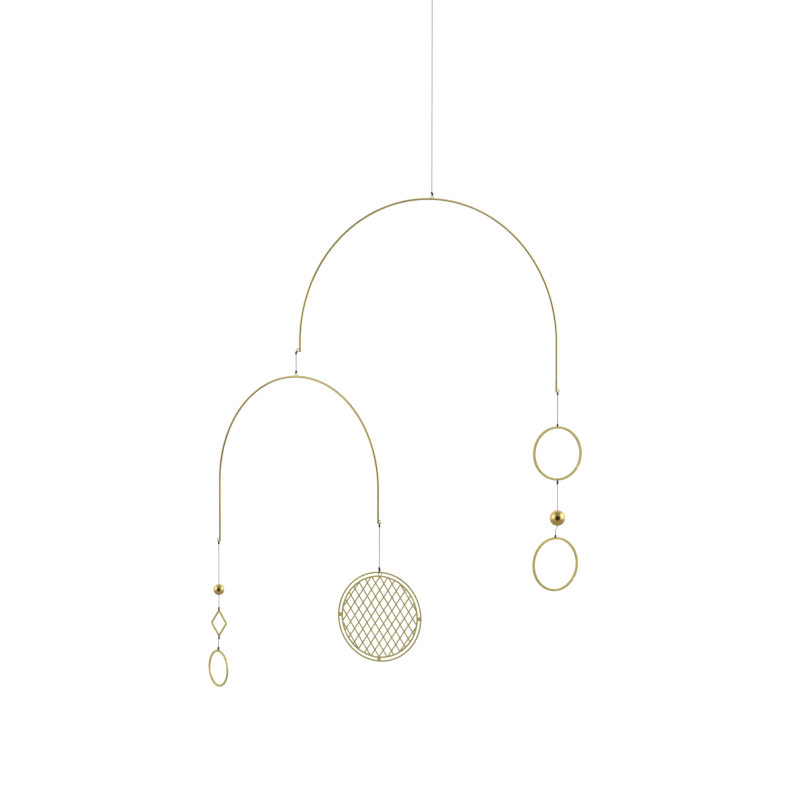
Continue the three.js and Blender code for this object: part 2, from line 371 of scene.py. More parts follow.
# Each stock's own brass: its tone and where it is paler, or in a bead redder
WIRE_BRASS = (0.45, 0.37, 0.10, 1), (0.51, 0.43, 0.14, 1)
PLATE_BRASS = (0.50, 0.42, 0.13, 1), (0.56, 0.49, 0.18, 1)
BEAD_BRASS = (0.76, 0.60, 0.25, 1), (0.68, 0.50, 0.19, 1)
BRASS_WORN = (0.72, 0.63, 0.30, 1)
BRASS_TARNISH = (0.36, 0.25, 0.07, 1)
THREAD_BLACK = (0.006, 0.006, 0.007, 1), (0.018, 0.017, 0.017, 1)
THREAD_FIBRE = (0.040, 0.038, 0.037, 1)

# How the marks in a surface are stretched: a small number runs them along that way
WIRE_GRAIN = (2600, 2600, 900)
PLATE_GRAIN = (2400, 2400, 160)
BEAD_GRAIN = (5200, 5200, 380)
FIBRE_GRAIN = (9000, 9000, 2600)


def satin_brass(name, grain, tones):
    """Brushed brass. grain stretches the brush marks: small along them, large across."""
    shader = Shader(name)
    surface = shader.surface
    clouds = shader.noise(22, 4, roughness=0.6)
    marks = shader.noise(1.0, 4, stretch=grain, roughness=0.7)
    tarnish = shader.spread(shader.noise(420, 5, roughness=0.65), 0.58, 0.80)
    tone = shader.blend(shader.spread(clouds, 0.35, 0.65), *tones)
    tone = shader.blend(shader.spread(tarnish, 0, 1, 0, 0.4), tone, BRASS_TARNISH)
    edges = shader.add("ShaderNodeNewGeometry").outputs["Pointiness"]
    worn = shader.spread(edges, 0.52, 0.60)
    tone = shader.blend(worn, tone, BRASS_WORN)
    shader.put(tone, surface.inputs["Base Color"])
    surface.inputs["Metallic"].default_value = 1.0
    gloss = shader.spread(marks, 0.3, 0.7, 0.22, 0.32)
    shader.put(shader.sum(gloss, shader.spread(tarnish, 0, 1, 0, 0.12)), surface.inputs["Roughness"])
    fine = shader.bump(marks, 0.22, 0.012 * MM)
    shader.put(shader.bump(clouds, 0.12, 0.1 * MM, fine), surface.inputs["Normal"])
    return shader.material


def polished_brass(name):
    """Mirror brass with hairline scratches and faint finger marks."""
    shader = Shader(name)
    surface = shader.surface
    smears = shader.noise(160, 4, roughness=0.6)
    hairs = shader.noise(1.0, 5, stretch=BEAD_GRAIN, roughness=0.75)
    pits = shader.spread(shader.noise(2600, 2), 0.70, 0.80)
    tone = shader.blend(shader.spread(smears, 0.35, 0.7), *BEAD_BRASS)
    tone = shader.blend(shader.spread(pits, 0, 1, 0, 0.5), tone, BRASS_TARNISH)
    shader.put(tone, surface.inputs["Base Color"])
    surface.inputs["Metallic"].default_value = 1.0
    shader.put(shader.spread(smears, 0.3, 0.75, 0.12, 0.21), surface.inputs["Roughness"])
    fine = shader.bump(hairs, 0.12, 0.01 * MM)
    shader.put(shader.bump(pits, 0.2, 0.02 * MM, fine), surface.inputs["Normal"])
    return shader.material


def black_thread(name):
    """Matt black twisted thread, a little faded on its raised strands."""
    shader = Shader(name)
    surface = shader.surface
    fibres = shader.noise(1.0, 3, stretch=FIBRE_GRAIN, roughness=0.7)
    fade = shader.noise(220, 3)
    tone = shader.blend(shader.spread(fade, 0.35, 0.7), *THREAD_BLACK)
    tone = shader.blend(shader.spread(fibres, 0.55, 0.8, 0, 0.7), tone, THREAD_FIBRE)
    shader.put(tone, surface.inputs["Base Color"])
    shader.put(shader.spread(fibres, 0.3, 0.7, 0.68, 0.86), surface.inputs["Roughness"])
    surface.inputs["Specular IOR Level"].default_value = 0.3
    surface.inputs["Sheen Weight"].default_value = 0.05
    surface.inputs["Sheen Roughness"].default_value = 0.5
    shader.put(shader.bump(fibres, 0.5, 0.05 * MM), surface.inputs["Normal"])
    return shader.material


# --- wires ----------------------------------------------------------------------------------

WIRE_SIDES = 20
WIRE_STEP = 1.6 * MM
EYELET_SWELL = 0.32 * MM
SOLDER_LENGTH = 3.2 * MM
SOLDER_WIDTH = 1.24 * MM
SOLDER_DEPTH = 0.62 * WIRE_RADIUS
SEAM_AT = math.radians(200)
SEAM_BULGE = 0.16 * MM
SEAM_WIDTH = 0.09


def arch_route(arch):
    """The arch's centre line, from its left end up, over the half circle and down to its right end."""
    route = []
    legs = [arch.spring - arch.left_end, arch.spring - arch.right_end]
    steps = [max(2, round(leg / WIRE_STEP)) for leg in legs]
    for i in range(steps[0]):
        route.append(arch.at(-arch.radius, arch.left_end + legs[0] * i / steps[0]))
    bend = round(math.pi * arch.radius / WIRE_STEP)
    for i in range(bend + 1):
        angle = math.pi * (1 - i / bend)
        x, rise = arch.radius * math.cos(angle), arch.radius * math.sin(angle)
        route.append(arch.at(x, arch.spring + rise))
    for i in range(1, steps[1] + 1):
        route.append(arch.at(arch.radius, arch.spring - legs[1] * i / steps[1]))
    return route


def wire_eyelet(arch, side):
    """An eyelet's loop of thin wire, which swells with solder where it meets the arch."""
    segments, sides = 40, 14
    centre = arch.eyelet(side)
    towards = -UP if side == 0 else -side * arch.along
    across = arch.along if side == 0 else UP
    route = []
    for i in range(segments):
        angle = 2 * math.pi * i / segments
        route.append(centre + EYELET_RADIUS * (math.cos(angle) * towards + math.sin(angle) * across))

    def radius_at(i, _):
        near = max(0.0, math.cos(2 * math.pi * i / segments))
        return EYELET_WIRE + EYELET_SWELL * near ** 6

    return joined("eyelet", [tube_parts(route, sides, radius_at, closed=True)])


def solder_drop(arch, side):
    """The small drop of solder that runs along the wire at an eyelet."""
    half_length, half_width = SOLDER_LENGTH / 2, SOLDER_WIDTH / 2
    rings, sides = 12, 16
    outwards = UP if side == 0 else side * arch.along
    lengthwise = arch.along if side == 0 else UP
    middle = arch.eyelet(side) - outwards * (EYELET_REACH - SOLDER_DEPTH)
    beside = outwards.cross(lengthwise)
    vertices = [middle - half_length * lengthwise]
    for i in range(1, rings):
        tilt = math.pi * i / rings
        for k in range(sides):
            angle = 2 * math.pi * k / sides
            around = math.cos(angle) * outwards + math.sin(angle) * beside
            vertices.append(middle - half_length * math.cos(tilt) * lengthwise
                            + half_width * math.sin(tilt) * around)
    vertices.append(middle + half_length * lengthwise)
    last = len(vertices) - 1
    faces = []
    for k in range(sides):
        n = (k + 1) % sides
        faces.append((0, 1 + n, 1 + k))
        faces.append((last, last - sides + k, last - sides + n))
        for i in range(rings - 2):
            a = 1 + i * sides
            faces.append((a + k, a + n, a + sides + n, a + sides + k))
    return mesh_object("solder", vertices, faces)


def recalculated(piece):
    """Turn every face of a closed mesh outwards."""
    work = bmesh.new()
    work.from_mesh(piece.data)
    bmesh.ops.recalc_face_normals(work, faces=work.faces)
    work.to_mesh(piece.data)
    work.free()
    return piece


def make_arch(node, arch, body, material):
    """An arch of bent wire, with an eyelet soldered on at the end of each leg and at the crown."""
    tube = tube_parts(arch_route(arch), WIRE_SIDES, lambda i, angle: WIRE_RADIUS, round_ends=False)
    wire = joined(node + "_wire", [tube])
    parts = [wire]
    for side in (-1, 0, 1):
        parts += [wire_eyelet(arch, side), solder_drop(arch, side)]
    for part in parts:
        recalculated(part)
    united(wire, parts[1:])
    return finish_piece(wire, body, material, node)


def make_hanging_ring(material):
    """A closed ring of wire, with the small bulge of its brazed seam low on one side."""
    segments, sides = 96, 18
    reach = (hanging_ring.top - hanging_ring.bottom) / 2 - RING_WIRE
    route = []
    for i in range(segments):
        angle = 2 * math.pi * i / segments
        place = hanging_ring.at(reach * math.cos(angle), hanging_ring.middle.z)
        route.append(place + UP * reach * math.sin(angle))

    def radius_at(i, _):
        away = (2 * math.pi * i / segments - SEAM_AT) / SEAM_WIDTH
        return RING_WIRE + SEAM_BULGE * math.exp(-away * away)

    ring = joined("hanging_ring_wire", [tube_parts(route, sides, radius_at, closed=True)])
    return finish_piece(recalculated(ring), "hanger", material, "hanging_ring")


# --- flat plates ----------------------------------------------------------------------------

def circle(radius, sides, x=0.0, y=0.0):
    return [(x + radius * math.cos(2 * math.pi * i / sides), y + radius * math.sin(2 * math.pi * i / sides))
            for i in range(sides)]


def arc(radius, start, end, steps):
    """Places along an arc from one angle to another."""
    return [(radius * math.cos(start + (end - start) * i / steps),
             radius * math.sin(start + (end - start) * i / steps)) for i in range(steps + 1)]


def rounded(corners, reach):
    """The outline with its sharp corners cut off in a short curve."""
    outline = []
    count = len(corners)
    for i in range(count):
        before, here, after = (Vector(corners[(i + k) % count]) for k in (-1, 0, 1))
        back, on = before - here, after - here
        if min(back.length, on.length) < 1e-9:
            continue
        if abs(math.pi - back.angle(on)) < math.radians(20):
            outline.append(tuple(here))
            continue
        start = here + back.normalized() * min(reach, 0.45 * back.length)
        end = here + on.normalized() * min(reach, 0.45 * on.length)
        for share in (0.0, 0.33, 0.67, 1.0):
            first, second = start.lerp(here, share), here.lerp(end, share)
            outline.append(tuple(first.lerp(second, share)))
    return outline


def area(outline):
    return abs(sum(a[0] * b[1] - b[0] * a[1] for a, b in zip(outline, outline[1:] + outline[:1]))) / 2


def plate(name, outlines, thickness, flat, turn=0.0):
    """A flat upright plate with softened edges. outlines are its rim and its holes, from its centre."""
    data = bpy.data.curves.new(name, "CURVE")
    data.dimensions = "2D"
    data.fill_mode = "BOTH"
    data.bevel_depth = EDGE_ROUNDING
    data.bevel_resolution = 2
    data.offset = -EDGE_ROUNDING
    data.extrude = thickness / 2 - EDGE_ROUNDING
    for outline in outlines:
        spline = data.splines.new("POLY")
        spline.points.add(len(outline) - 1)
        for point, (x, y) in zip(spline.points, outline):
            point.co = (x, y, 0, 1)
        spline.use_cyclic_u = True
    holder = new_object(name + "_outline", data)
    mesh = bpy.data.meshes.new_from_object(holder.evaluated_get(bpy.context.evaluated_depsgraph_get()))
    bpy.data.objects.remove(holder)
    bpy.data.curves.remove(data)
    mesh.name = name
    work = bmesh.new()
    work.from_mesh(mesh)
    bmesh.ops.remove_doubles(work, verts=work.verts, dist=0.002 * MM)
    bmesh.ops.recalc_face_normals(work, faces=work.faces)
    for face in work.faces:
        face.smooth = abs(face.normal.z) < 0.9999
    work.to_mesh(mesh)
    work.free()
    across = Matrix((flat.along, UP, flat.along.cross(UP))).transposed().to_4x4()
    mesh.transform(Matrix.Translation(flat.middle) @ across @ Matrix.Rotation(turn, 4, "Z"))
    return new_object(name, mesh)


def make_flat_ring(name, flat, holes, body, material):
    """A ring cut from plate, pierced for its thread at the top, and below where the next thread is tied."""
    reach = (flat.top - flat.bottom) / 2
    centre_line = reach - BAND_WIDTH / 2
    outlines = [circle(reach, 160), circle(reach - BAND_WIDTH, 144)]
    outlines += [circle(THREAD_HOLE, 24, 0, side * centre_line) for side in holes]
    ring = plate(name + "_plate", outlines, flat.thickness, flat)
    return finish_piece(ring, body, material, name)


RIM_ROUNDING = 0.5 * MM
EYE_ROUNDING = 0.4 * MM
INNER_ROUNDING = 0.35 * MM
LATTICE_ROUNDING = 0.3 * MM

DIAMOND_BAR = 2.1 * MM
DIAMOND_CROSS_BAR = 0.8 * MM
DIAMOND_BELOW_TIP = 4.9 * MM
DIAMOND_CORNER = 0.9 * MM
DIAMOND_EYE_RISE = 1.0 * MM


def make_diamond(material):
    """The diamond frame, with a cross bar near each tip that leaves a small eye for the thread."""
    half_height = (diamond.top - diamond.bottom) / 2 + DIAMOND_CORNER
    half_width = (diamond.high - diamond.low) / 2 / (1 - DIAMOND_CORNER / half_height)
    slope = half_width / half_height
    inset = 1 - DIAMOND_BAR * math.hypot(half_width, half_height) / (half_width * half_height)
    inner_tip, inner_side = half_height * inset, half_width * inset
    bar_top = half_height - DIAMOND_BELOW_TIP + DIAMOND_CROSS_BAR / 2
    bar_bottom = bar_top - DIAMOND_CROSS_BAR

    def side_of(height):
        return (inner_tip - height) * slope

    cut = DIAMOND_CORNER * slope
    side, tip = half_width - cut, half_height - DIAMOND_CORNER
    rim = [(side, -DIAMOND_CORNER), (side, DIAMOND_CORNER), (cut, tip), (-cut, tip),
           (-side, DIAMOND_CORNER), (-side, -DIAMOND_CORNER), (-cut, -tip), (cut, -tip)]
    opening = [(inner_side, 0), (side_of(bar_bottom), bar_bottom), (-side_of(bar_bottom), bar_bottom),
               (-inner_side, 0), (-side_of(bar_bottom), -bar_bottom), (side_of(bar_bottom), -bar_bottom)]
    outlines = [rounded(rim, RIM_ROUNDING), rounded(opening, INNER_ROUNDING)]
    eye_tip, eye_side = inner_tip + DIAMOND_EYE_RISE, side_of(bar_top - DIAMOND_EYE_RISE)
    for end in (1, -1):
        eye = [(0, end * eye_tip), (-eye_side, end * bar_top), (eye_side, end * bar_top)]
        outlines.append(rounded(eye, EYE_ROUNDING))
    frame_plate = plate("diamond_plate", outlines, diamond.thickness, diamond)
    return finish_piece(frame_plate, "lower_arm", material, "diamond")


DISC_BAND = 1.9 * MM
DISC_GAP = 2.55 * MM
DISC_TAB = 4.2 * MM
DISC_POSTS = 3.4 * MM
DISC_POST = 0.9 * MM
DISC_ROLL = math.radians(0.6)
CELL_WIDTH = 10.3 * MM
CELL_HEIGHT = 15.4 * MM
LATTICE_BAR = 1.5 * MM
SMALLEST_OPENING = 0.9 * MM * MM


def clipped(corners, reach):
    """What of a convex outline lies within a circle round the centre."""
    sides = 180
    for k in range(sides):
        angle = 2 * math.pi * (k + 0.5) / sides
        out_x, out_y = math.cos(angle), math.sin(angle)
        limit = reach * math.cos(math.pi / sides)
        kept = []
        for a, b in zip(corners, corners[1:] + corners[:1]):
            over_a = a[0] * out_x + a[1] * out_y - limit
            over_b = b[0] * out_x + b[1] * out_y - limit
            if over_a <= 0:
                kept.append(a)
            if (over_a < 0 < over_b) or (over_b < 0 < over_a):
                share = over_a / (over_a - over_b)
                kept.append((a[0] + (b[0] - a[0]) * share, a[1] + (b[1] - a[1]) * share))
        corners = kept
        if len(corners) < 3:
            return []
    return corners


def lattice_openings(reach):
    """The diamond-shaped openings between two crossing sets of bars, cut off at the inner ring."""
    half_w, half_h = CELL_WIDTH / 2, CELL_HEIGHT / 2
    to_side = half_w * half_h / math.hypot(half_w, half_h)
    share = 1 - LATTICE_BAR / 2 / to_side
    openings = []
    columns, rows = math.ceil(reach / half_w), math.ceil(reach / half_h)
    for i in range(-columns, columns + 1):
        for j in range(-rows, rows + 1):
            if (i + j) % 2 == 0:
                continue
            x, y = i * half_w, j * half_h
            cell = [(x + half_w * share, y), (x, y + half_h * share),
                    (x - half_w * share, y), (x, y - half_h * share)]
            cell = clipped(cell, reach)
            if cell and area(cell) > SMALLEST_OPENING:
                openings.append(rounded(cell, LATTICE_ROUNDING))
    return openings


def gap_opening(start, end, start_half, end_half, inner, outer, steps):
    """An opening between the disc's rings, from one radial bar's side to the next one's."""
    def span(radius):
        return (start + math.asin(start_half / radius), end - math.asin(end_half / radius))

    first, last = span(outer)
    near_first, near_last = span(inner)
    outline = arc(outer, first, last, steps) + arc(inner, near_last, near_first, steps)
    return rounded(outline, LATTICE_ROUNDING)


def make_disc(material):
    """Two thin rings joined by tabs, with a lattice of slanting bars inside the smaller one."""
    reach = (disc.top - disc.bottom) / 2
    gap_outer = reach - DISC_BAND
    gap_inner = gap_outer - DISC_GAP
    quarter = math.pi / 2
    tab, post = DISC_TAB / 2, (DISC_POSTS + DISC_POST) / 2
    outlines = [circle(reach, 200)]
    outlines += lattice_openings(gap_inner - DISC_BAND)
    for start, halves in ((0, (tab, post)), (1, (post, tab)), (2, (tab, tab)), (3, (tab, tab))):
        here = start * quarter
        outlines.append(gap_opening(here, here + quarter, *halves, gap_inner, gap_outer, 44))
    between = (DISC_POSTS - DISC_POST) / 2
    outlines.append(gap_opening(quarter, quarter, -between, -between, gap_inner, gap_outer, 4)[::-1])
    pierced = plate("lattice_disc_plate", outlines, disc.thickness, disc, -DISC_ROLL)
    return finish_piece(pierced, "lower_arm", material, "lattice_disc")


# --- beads ----------------------------------------------------------------------------------

BORE_RADIUS = 0.8 * MM
COUNTERSINK = 0.35 * MM


def make_bead(node, body, material):
    """A turned ball, drilled through, with the edges of its bore countersunk."""
    segments, bands = 96, 56
    low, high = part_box(node)
    centre, radius = (low + high) / 2, (high.z - low.z) / 2
    radius = math.hypot(radius, BORE_RADIUS)
    mouth = math.asin((BORE_RADIUS + COUNTERSINK) / radius)
    profile = []
    for i in range(bands + 1):
        angle = mouth + (math.pi - 2 * mouth) * i / bands
        profile.append((radius * math.sin(angle), -radius * math.cos(angle)))
    bore_end = radius * math.cos(mouth) - 0.8 * COUNTERSINK
    softened = BORE_RADIUS + 0.4 * COUNTERSINK, bore_end + 0.35 * COUNTERSINK
    profile += [softened, (BORE_RADIUS, bore_end - 0.3 * COUNTERSINK)]
    profile += [(BORE_RADIUS, 0.3 * COUNTERSINK - bore_end), (softened[0], -softened[1])]
    vertices, faces = [], []
    for r, z in profile:
        for k in range(segments):
            angle = 2 * math.pi * k / segments
            vertices.append(centre + Vector((r * math.cos(angle), r * math.sin(angle), z)))
    rings = len(profile)
    for i in range(rings):
        for k in range(segments):
            n, j = (k + 1) % segments, (i + 1) % rings
            faces.append((i * segments + k, i * segments + n, j * segments + n, j * segments + k))
    bead = recalculated(mesh_object(node + "_turned", vertices, faces))
    return finish_piece(bead, body, material, node)


# --- threads --------------------------------------------------------------------------------

TWIST_PITCH = 2.0 * MM
STRANDS = 3
KNOT_TURNS = 3.2
KNOT_PITCH = 1.75 * THREAD_RADIUS
KNOT_REACH = 0.72 * MM
KNOT_STEP = 0.2 * MM
TAIL_LENGTHS = 1.0 * MM, 1.4 * MM


def twisted_tube(route, radius=THREAD_RADIUS, step=0.16 * MM, sides=12):
    """The parts of a thread of three strands twisted together, along a route of few points."""
    line = smooth_line(route, step)
    lengths = [0.0]
    for a, b in zip(line, line[1:]):
        lengths.append(lengths[-1] + (b - a).length)

    def radius_at(i, angle):
        phase = STRANDS * angle - 2 * math.pi * lengths[i] / TWIST_PITCH
        return radius * (0.96 + 0.07 * math.cos(phase))

    return tube_parts(line, sides, radius_at)


def knot_parts(place, towards, across, turns, seed):
    """A knot: wraps of thread wound tightly round the strand, one crossing over them, and a cut tail."""
    dice = random.Random(seed)
    beside = towards.cross(across)
    length = turns * KNOT_PITCH

    def round_axis(along, reach, angle):
        return place + towards * along + reach * (math.cos(angle) * across + math.sin(angle) * beside)

    tilt = dice.uniform(0, 2 * math.pi)
    per_turn = 14
    wrap = []
    count = round(turns * per_turn)
    for i in range(count + 1):
        angle = tilt + 2 * math.pi * i / per_turn
        reach = KNOT_REACH * (1 + 0.10 * math.sin(math.pi * i / count) + dice.uniform(-0.03, 0.03))
        along = -length / 2 + length * i / count
        wrap.append(round_axis(along, reach, angle))
    crossing = []
    start = tilt + dice.uniform(0, math.pi)
    outside = KNOT_REACH + 1.3 * THREAD_RADIUS
    for i in range(7):
        share = i / 6
        angle = start + 1.6 * math.pi * share
        reach = outside * (0.55 + 0.45 * math.sin(math.pi * share))
        along = (share - 0.5) * length * 0.9
        crossing.append(round_axis(along, reach, angle))
    angle = dice.uniform(0, 2 * math.pi)
    out = math.cos(angle) * across + math.sin(angle) * beside
    reach = dice.uniform(*TAIL_LENGTHS)
    tail = [place + out * KNOT_REACH * 0.5, place + out * reach * 0.7 - towards * reach * 0.3,
            place + out * reach * 0.95 - towards * reach]
    half = towards * (length / 2 + THREAD_RADIUS)
    core = [place - half, place, place + half]
    return [twisted_tube(wrap, step=KNOT_STEP, sides=8), twisted_tube(crossing, step=KNOT_STEP, sides=8),
            twisted_tube(tail, radius=0.9 * THREAD_RADIUS, step=KNOT_STEP, sides=8),
            tube_parts(smooth_line(core, 0.3 * MM), 10, lambda i, a: 0.85 * KNOT_REACH)]


def loop_parts(knot, held, across, half_thick, half_band):
    """The loop of thread from a knot, round the wire or band centred at held, and back."""
    towards = (held - knot).normalized()
    wide, far = half_thick + LOOP_RADIUS, half_band + LOOP_RADIUS
    corner = 0.62

    def side_points(side):
        return [knot + side * across * 0.5 * THREAD_RADIUS,
                held - towards * far * corner + side * across * wide,
                held + side * across * wide,
                held + towards * far * corner + side * across * wide * 0.92]

    route = side_points(1) + [held + towards * far] + side_points(-1)[::-1]
    return [twisted_tube(route, radius=LOOP_RADIUS, step=KNOT_STEP, sides=10)]


def down_axis(node, height):
    """A point on a straight thread's line, at the given height."""
    low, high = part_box(node)
    return Vector(((low.x + high.x) / 2, (low.y + high.y) / 2, height))


def straight(start, end):
    """The route of a thread that hangs straight."""
    return [start, (start + end) / 2, end]


class Ties:
    """The threads' pieces: the strands, and the ties at their ends, each with a seed of its own."""

    def __init__(self, material):
        self.material = material
        self.seed = 0

    def tie(self, name, body, knots, held, across, half_thick, half_band):
        """What ties a thread's end: its knots, the last one beside what it holds, and the loop round it."""
        self.seed += 1
        parts = []
        towards = UP if held.z > knots[-1].z else -UP
        for k, knot in enumerate(knots):
            parts += knot_parts(knot, towards, across, KNOT_TURNS - k, self.seed * 10 + k)
        parts += loop_parts(knots[-1], held, across, half_thick, half_band)
        return finish_piece(joined(name, parts), body, self.material)

    def to_eyelet(self, name, body, arch, side, knots):
        """Tie to the side of an eyelet that is nearest the knots."""
        centre = arch.eyelet(side)
        held = centre + EYELET_RADIUS * (knots[-1] - centre).normalized()
        return self.tie(name, body, knots, held, arch.facing, EYELET_WIRE, EYELET_WIRE)

    def to_edge(self, name, body, flat, end, band, gaps):
        """Tie round the metal between a plate's top (1) or bottom (-1) edge and a hole in it.

        gaps are how far from the edge the knots sit. The first knot's place comes back with the tie."""
        edge = flat.top if end > 0 else flat.bottom
        held = flat.at(0, edge - end * band / 2)
        knots = [flat.at(0, edge + end * gap) for gap in gaps]
        return knots[0], self.tie(name, body, knots, held, flat.facing, flat.thickness / 2, band / 2)

    def strand(self, name, body, route):
        thread = joined(name + "_strand", [twisted_tube(route)])
        return finish_piece(thread, body, self.material, name)

    def cord(self, name, body, route, far_end, on_it):
        """A strand. far_end and on_it, the pieces that are on it, are not used."""
        strand = self.strand(name, body, route)


RING_EDGE = BAND_WIDTH / 2 - THREAD_HOLE
DIAMOND_EDGE = 1.8 * MM
# How far the knots sit above or below the eyelet's middle, and the top one below the hanging ring's foot
HANGING_FOOT = 4.7 * MM, 3.2 * MM
HANGING_FOOT_ASIDE = 0.3 * MM
HANGING_HEAD = 2.65 * MM
LINK_HEAD, LINK_FOOT = 3.3 * MM, 3.2 * MM
RIGHT_HEAD, LEFT_HEAD, DISC_HEAD = 4.0 * MM, 4.2 * MM, 4.6 * MM
# How far the knots sit from the edge of each plate, at its top or its bottom
RING_UPPER_TOP, RING_UPPER_BOTTOM = [1.7 * MM], [3.1 * MM, 1.3 * MM]
RING_LOWER_TOP, SMALL_RING_TOP = [1.2 * MM], [1.8 * MM]
DIAMOND_TOP, DIAMOND_BOTTOM = [1.4 * MM], [1.8 * MM]
DISC_TOP = [3.3 * MM, 1.3 * MM]
# Under the large bead the thread leans over: how many radii below its centre, and how far across
LEANING = [(1.1, 0.1), (1.4, 0.75)]


def make_hanging_thread(ties, ring):
    """From the crown of the upper arch to the hanging ring."""
    crown = upper_arch.eyelet(0)
    aside = HANGING_FOOT_ASIDE * upper_arch.along
    far, near = HANGING_FOOT
    low_knots = [crown + far * UP - aside, crown + near * UP + aside]
    foot = ties.to_eyelet("hanging_thread_foot_knot", "upper_arm", upper_arch, 0, low_knots)
    ring_foot = hanging_ring.at(0, hanging_ring.bottom + RING_WIRE)
    top_knot = ring_foot - HANGING_HEAD * UP
    head = ties.tie("hanging_thread_head_knot", "hanger", [top_knot], ring_foot, hanging_ring.facing,
                    RING_WIRE, RING_WIRE)
    ties.cord("hanging_thread", "hanger", straight(low_knots[0], top_knot), "fitting", [ring, head, foot])


def make_link_thread(ties):
    """The link between the arches, which leaves the upper one's eyelet a little outside it."""
    top = down_axis("link_thread", upper_arch.eyelet(-1).z - LINK_HEAD)
    ties.to_eyelet("link_thread_head_knot", "upper_arm", upper_arch, -1, [top])
    foot = lower_arch.eyelet(0) + LINK_FOOT * UP
    ties.to_eyelet("link_thread_foot_knot", "lower_arm", lower_arch, 0, [foot])
    ties.strand("link_thread", "upper_arm", straight(top, foot))


def make_right_string(ties):
    """From the upper arch's right leg to its first ring, and from there through the bead to the second."""
    body = "upper_arm"
    start = down_axis("right_upper_thread", upper_arch.eyelet(1).z - RIGHT_HEAD)
    head = ties.to_eyelet("right_upper_thread_head_knot", body, upper_arch, 1, [start])
    end, foot = ties.to_edge("right_upper_thread_foot_knot", body, ring_upper, 1, RING_EDGE,
                             RING_UPPER_TOP)
    ties.cord("right_upper_thread", body, straight(start, end), "object", [head, foot])

    start, head = ties.to_edge("right_lower_thread_head_knot", body, ring_upper, -1, RING_EDGE,
                               RING_UPPER_BOTTOM)
    end, foot = ties.to_edge("right_lower_thread_foot_knot", body, ring_lower, 1, RING_EDGE,
                             RING_LOWER_TOP)
    low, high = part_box("large_bead")
    bead, bead_radius = (low + high) / 2, (high.z - low.z) / 2
    leaning = [Vector((bead.x + share * (end.x - bead.x), 0, bead.z - below * bead_radius))
               for below, share in LEANING]
    route = [start, bead + 2 * bead_radius * UP, bead, bead - bead_radius * UP, *leaning, end]
    ties.cord("right_lower_thread", body, route, "object", [head, foot])


def make_left_string(ties):
    """From the lower arch's left leg through the bead to the diamond, and from there to the small ring."""
    body = "lower_arm"
    start = down_axis("left_upper_thread", lower_arch.eyelet(-1).z - LEFT_HEAD)
    head = ties.to_eyelet("left_upper_thread_head_knot", body, lower_arch, -1, [start])
    end, foot = ties.to_edge("left_upper_thread_foot_knot", body, diamond, 1, DIAMOND_EDGE, DIAMOND_TOP)
    ties.cord("left_upper_thread", body, straight(start, end), "object", [head, foot])

    start, _ = ties.to_edge("left_lower_thread_head_knot", body, diamond, -1, DIAMOND_EDGE, DIAMOND_BOTTOM)
    end, _ = ties.to_edge("left_lower_thread_foot_knot", body, small_ring, 1, RING_EDGE, SMALL_RING_TOP)
    ties.strand("left_lower_thread", body, straight(start, end))


def make_disc_thread(ties):
    """From the lower arch's right leg to the disc, with its upper knot lower than the others."""
    start = down_axis("disc_thread", lower_arch.eyelet(1).z - DISC_HEAD)
    head = ties.to_eyelet("disc_thread_head_knot", "lower_arm", lower_arch, 1, [start])
    end, foot = ties.to_edge("disc_thread_foot_knot", "lower_arm", disc, 1, DISC_BAND, DISC_TOP)
    ties.cord("disc_thread", "lower_arm", straight(start, end), "object", [head, foot])


def make_threads(material, ring):
    """Every thread. ring is the piece of wire that the top one is tied to."""
    ties = Ties(material)
    make_hanging_thread(ties, ring)
    make_link_thread(ties)
    make_right_string(ties)
    make_left_string(ties)
    make_disc_thread(ties)


# --- studio ---------------------------------------------------------------------------------

FLOOR_BELOW = 0.55
FLOOR_RADIUS = 14.0
FLOOR_TONES = (0.72, 0.72, 0.71, 1), (0.76, 0.76, 0.75, 1)
FLOOR_GLOW = 0.54
BACKDROP_GLOW = 1.005
WHITE = (1, 1, 1, 1)
# What the brass mirrors: the room before and beside the mobile, what is below it, and the camera's place
ROOM_FRONT = (0.40, 0.40, 0.37, 1)
ROOM_SIDES = (0.74, 0.74, 0.74, 1)
ROOM_BELOW = (0.46, 0.40, 0.33, 1)
CAMERA_DARK = (0.05, 0.04, 0.02, 1)
WARM = (1.0, 0.97, 0.90)
NEUTRAL = (1.0, 1.0, 0.98)
SOFTBOX_DISTANCE = 2.0


def make_floor(bottom):
    """A wide pale floor, some way below the mobile."""
    sides = 96
    rim = circle(FLOOR_RADIUS, sides)
    height = bottom - FLOOR_BELOW
    vertices = [(0, 0, height)] + [(x, y, height) for x, y in rim]
    faces = [(0, 1 + k, 1 + (k + 1) % sides) for k in range(sides)]
    floor = mesh_object("floor", vertices, faces)
    shader = Shader("pale_floor")
    surface = shader.surface
    tone = shader.blend(shader.noise(3.0, 3), *FLOOR_TONES)
    shader.put(tone, surface.inputs["Base Color"])
    surface.inputs["Roughness"].default_value = 0.9
    surface.inputs["Specular IOR Level"].default_value = 0.1
    surface.inputs["Emission Color"].default_value = WHITE
    surface.inputs["Emission Strength"].default_value = FLOOR_GLOW
    floor.data.materials.append(shader.material)
    floor.visible_glossy = False


def direction(azimuth, elevation):
    """A direction by its angle round from the camera's side, to the camera's right, and its rise."""
    azimuth, elevation = math.radians(azimuth), math.radians(elevation)
    right = Vector((math.cos(CAMERA_AZIMUTH), math.sin(CAMERA_AZIMUTH), 0))
    back = right.cross(UP)
    level = math.cos(azimuth) * back + math.sin(azimuth) * right
    return (math.cos(elevation) * level + math.sin(elevation) * UP).normalized()


